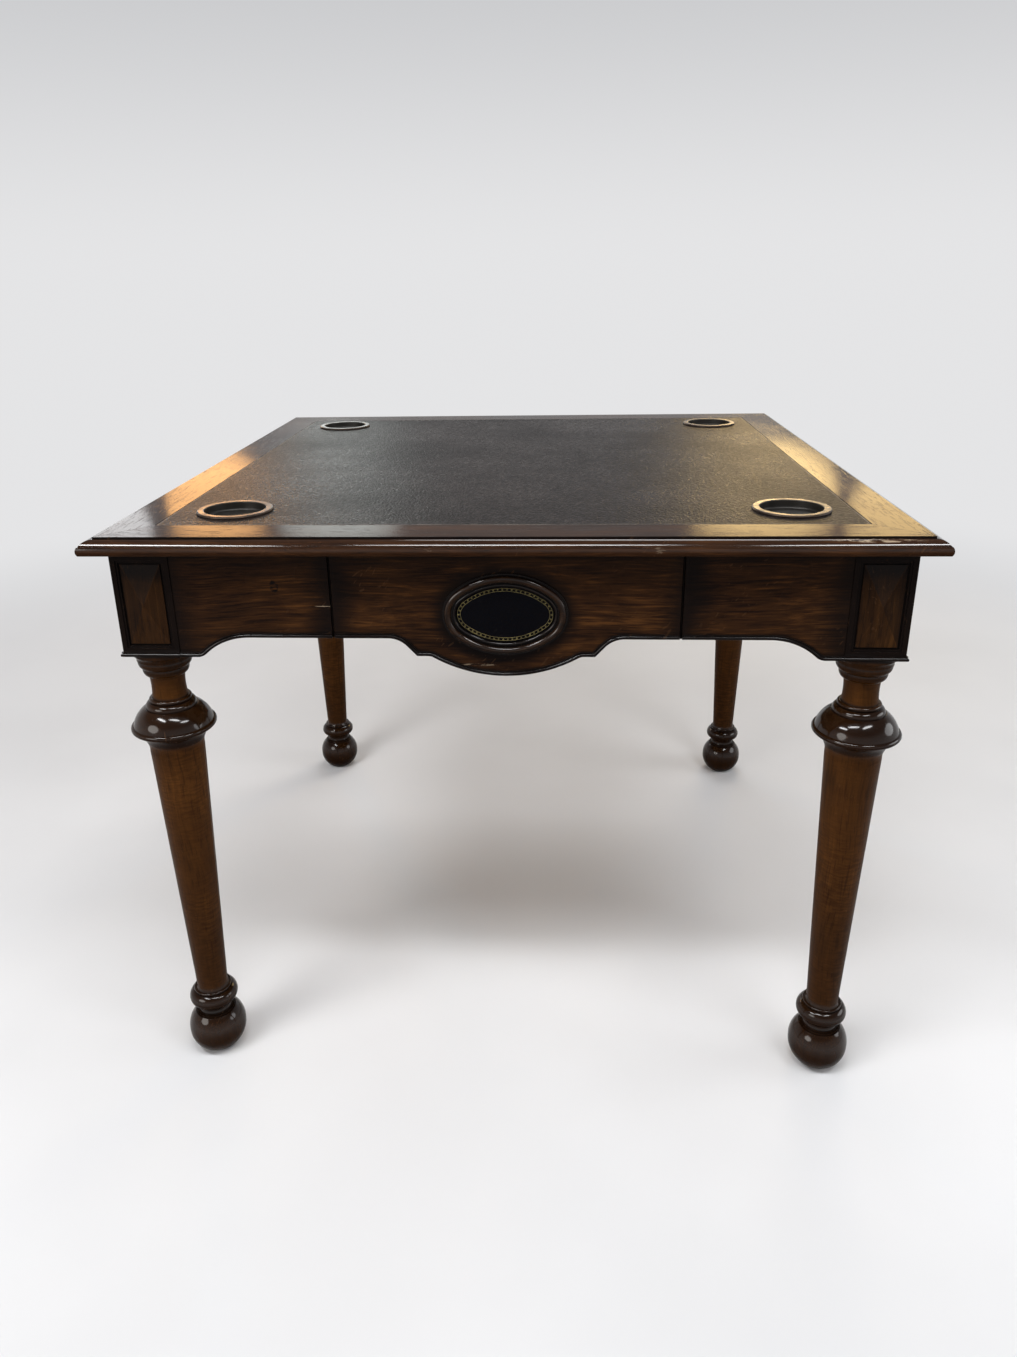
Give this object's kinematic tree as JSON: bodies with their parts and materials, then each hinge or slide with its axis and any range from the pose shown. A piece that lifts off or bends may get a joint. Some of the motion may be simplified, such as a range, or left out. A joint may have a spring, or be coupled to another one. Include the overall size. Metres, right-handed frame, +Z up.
{
  "type": "games table",
  "caption": "Square wooden games table on turned legs, with a leather-lined moulded top, drop-in dishes for glasses, and a shaped apron with a drawer in each side.",
  "frame": {"origin": "on the floor, under the middle of the table", "axes": "+Z up; the front with the drawer seen in the picture faces -Y; +X to the right seen from the front"},
  "size_m": [0.965, 0.965, 0.7651],
  "materials": {
    "walnut": "dark brown semi-gloss lacquer, worn and burnished darker at the edges",
    "hidden_frame": "plain unpolished secondary wood",
    "playing_leather": "very dark brown leather with a fine pebble grain and a satin sheen",
    "black_leather": "black leather with a thin gilt tooled border",
    "dish_bronze": "dark patinated bronze-brown satin, brighter on the rim",
    "steel": "plain zinc-grey fasteners"
  },
  "bodies": {
    "table": {"apron_back_left": "walnut", "apron_back_right": "walnut", "apron_front_left": "walnut", "apron_front_right": "walnut", "apron_left_back": "walnut", "apron_left_front": "walnut", "apron_right_back": "walnut", "apron_right_front": "walnut", "bearer_back": "hidden_frame", "bearer_front": "hidden_frame", "bearer_left": "hidden_frame", "bearer_right": "hidden_frame", "corner_blocks": "hidden_frame", "drawer_runners": "hidden_frame", "leg_back_left": "walnut", "leg_back_right": "walnut", "leg_bolt_nuts": "steel", "leg_bolt_washers": "steel", "leg_bolts": "steel", "leg_front_left": "walnut", "leg_front_right": "walnut", "lower_rails": "hidden_frame", "playing_leather": "playing_leather", "post_diamonds": "walnut", "top_border_back": "walnut", "top_border_front": "walnut", "top_border_left": "walnut", "top_border_right": "walnut", "top_core": "hidden_frame", "top_screws": "steel", "upper_rails": "hidden_frame"},
    "front_drawer": {"drawer_front_back": "hidden_frame", "drawer_front_bottom": "hidden_frame", "drawer_front_front": "walnut", "drawer_front_oval_leather": "black_leather", "drawer_front_oval_moulding": "walnut", "drawer_front_sides": "hidden_frame"},
    "right_drawer": {"drawer_right_back": "hidden_frame", "drawer_right_bottom": "hidden_frame", "drawer_right_front": "walnut", "drawer_right_oval_leather": "black_leather", "drawer_right_oval_moulding": "walnut", "drawer_right_sides": "hidden_frame"},
    "back_drawer": {"drawer_back_back": "hidden_frame", "drawer_back_bottom": "hidden_frame", "drawer_back_front": "walnut", "drawer_back_oval_leather": "black_leather", "drawer_back_oval_moulding": "walnut", "drawer_back_sides": "hidden_frame"},
    "left_drawer": {"drawer_left_back": "hidden_frame", "drawer_left_bottom": "hidden_frame", "drawer_left_front": "walnut", "drawer_left_oval_leather": "black_leather", "drawer_left_oval_moulding": "walnut", "drawer_left_sides": "hidden_frame"},
    "front_left_dish": {"dish_front_left": "dish_bronze"},
    "front_right_dish": {"dish_front_right": "dish_bronze"},
    "back_right_dish": {"dish_back_right": "dish_bronze"},
    "back_left_dish": {"dish_back_left": "dish_bronze"}
  },
  "joints": [
    {"name": "front_drawer_slide", "type": "slide", "parent": "table", "child": "front_drawer", "axis": [0, -1, 0], "range_m": [0, 0.149]},
    {"name": "right_drawer_slide", "type": "slide", "parent": "table", "child": "right_drawer", "axis": [1, 0, 0], "range_m": [0, 0.149]},
    {"name": "back_drawer_slide", "type": "slide", "parent": "table", "child": "back_drawer", "axis": [0, 1, 0], "range_m": [0, 0.149]},
    {"name": "left_drawer_slide", "type": "slide", "parent": "table", "child": "left_drawer", "axis": [-1, 0, 0], "range_m": [0, 0.149]},
    {"name": "front_left_dish_lift", "type": "slide", "parent": "table", "child": "front_left_dish", "axis": [0, 0, 1], "range_m": [0, 0.03]},
    {"name": "front_right_dish_lift", "type": "slide", "parent": "table", "child": "front_right_dish", "axis": [0, 0, 1], "range_m": [0, 0.03]},
    {"name": "back_right_dish_lift", "type": "slide", "parent": "table", "child": "back_right_dish", "axis": [0, 0, 1], "range_m": [0, 0.03]},
    {"name": "back_left_dish_lift", "type": "slide", "parent": "table", "child": "back_left_dish", "axis": [0, 0, 1], "range_m": [0, 0.03]}
  ]
}
